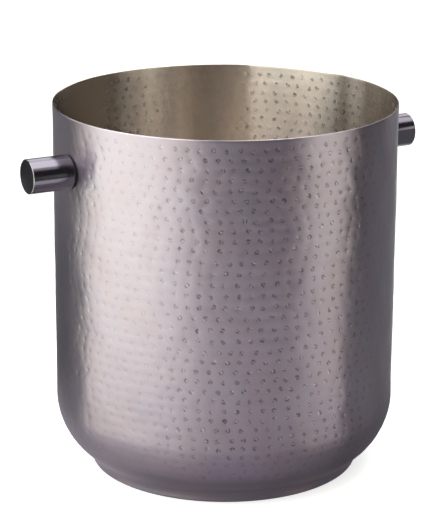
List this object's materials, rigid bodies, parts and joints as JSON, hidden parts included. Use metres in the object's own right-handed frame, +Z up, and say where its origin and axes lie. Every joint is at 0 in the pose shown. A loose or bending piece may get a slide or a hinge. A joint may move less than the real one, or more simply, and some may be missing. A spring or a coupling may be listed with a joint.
{
  "type": "ice bucket",
  "caption": "Open cylindrical metal ice bucket with a hammered wall, a large rounded lower edge, a stepped-in foot and stub bar handles bolted through the wall.",
  "frame": {"origin": "on the surface that the bucket stands on, under the middle of the bucket", "axes": "+Z up along the bucket's axis; +X along the handles, the left handle at -X; +Y from the front to the back"},
  "size_m": [0.253, 0.202, 0.22],
  "materials": {
    "hammered_shell": "hammered satin gunmetal outside, warm satin nickel inside",
    "handle_bar": "polished dark gunmetal",
    "gasket": "matt black",
    "fastener": "plain satin stainless"
  },
  "bodies": {
    "root": {"bucket_shell": "hammered_shell", "left_handle": "handle_bar", "right_handle": "handle_bar", "left_gasket": "gasket", "right_gasket": "gasket", "left_washer": "fastener", "right_washer": "fastener", "left_screw": "fastener", "right_screw": "fastener"}
  },
  "joints": []
}
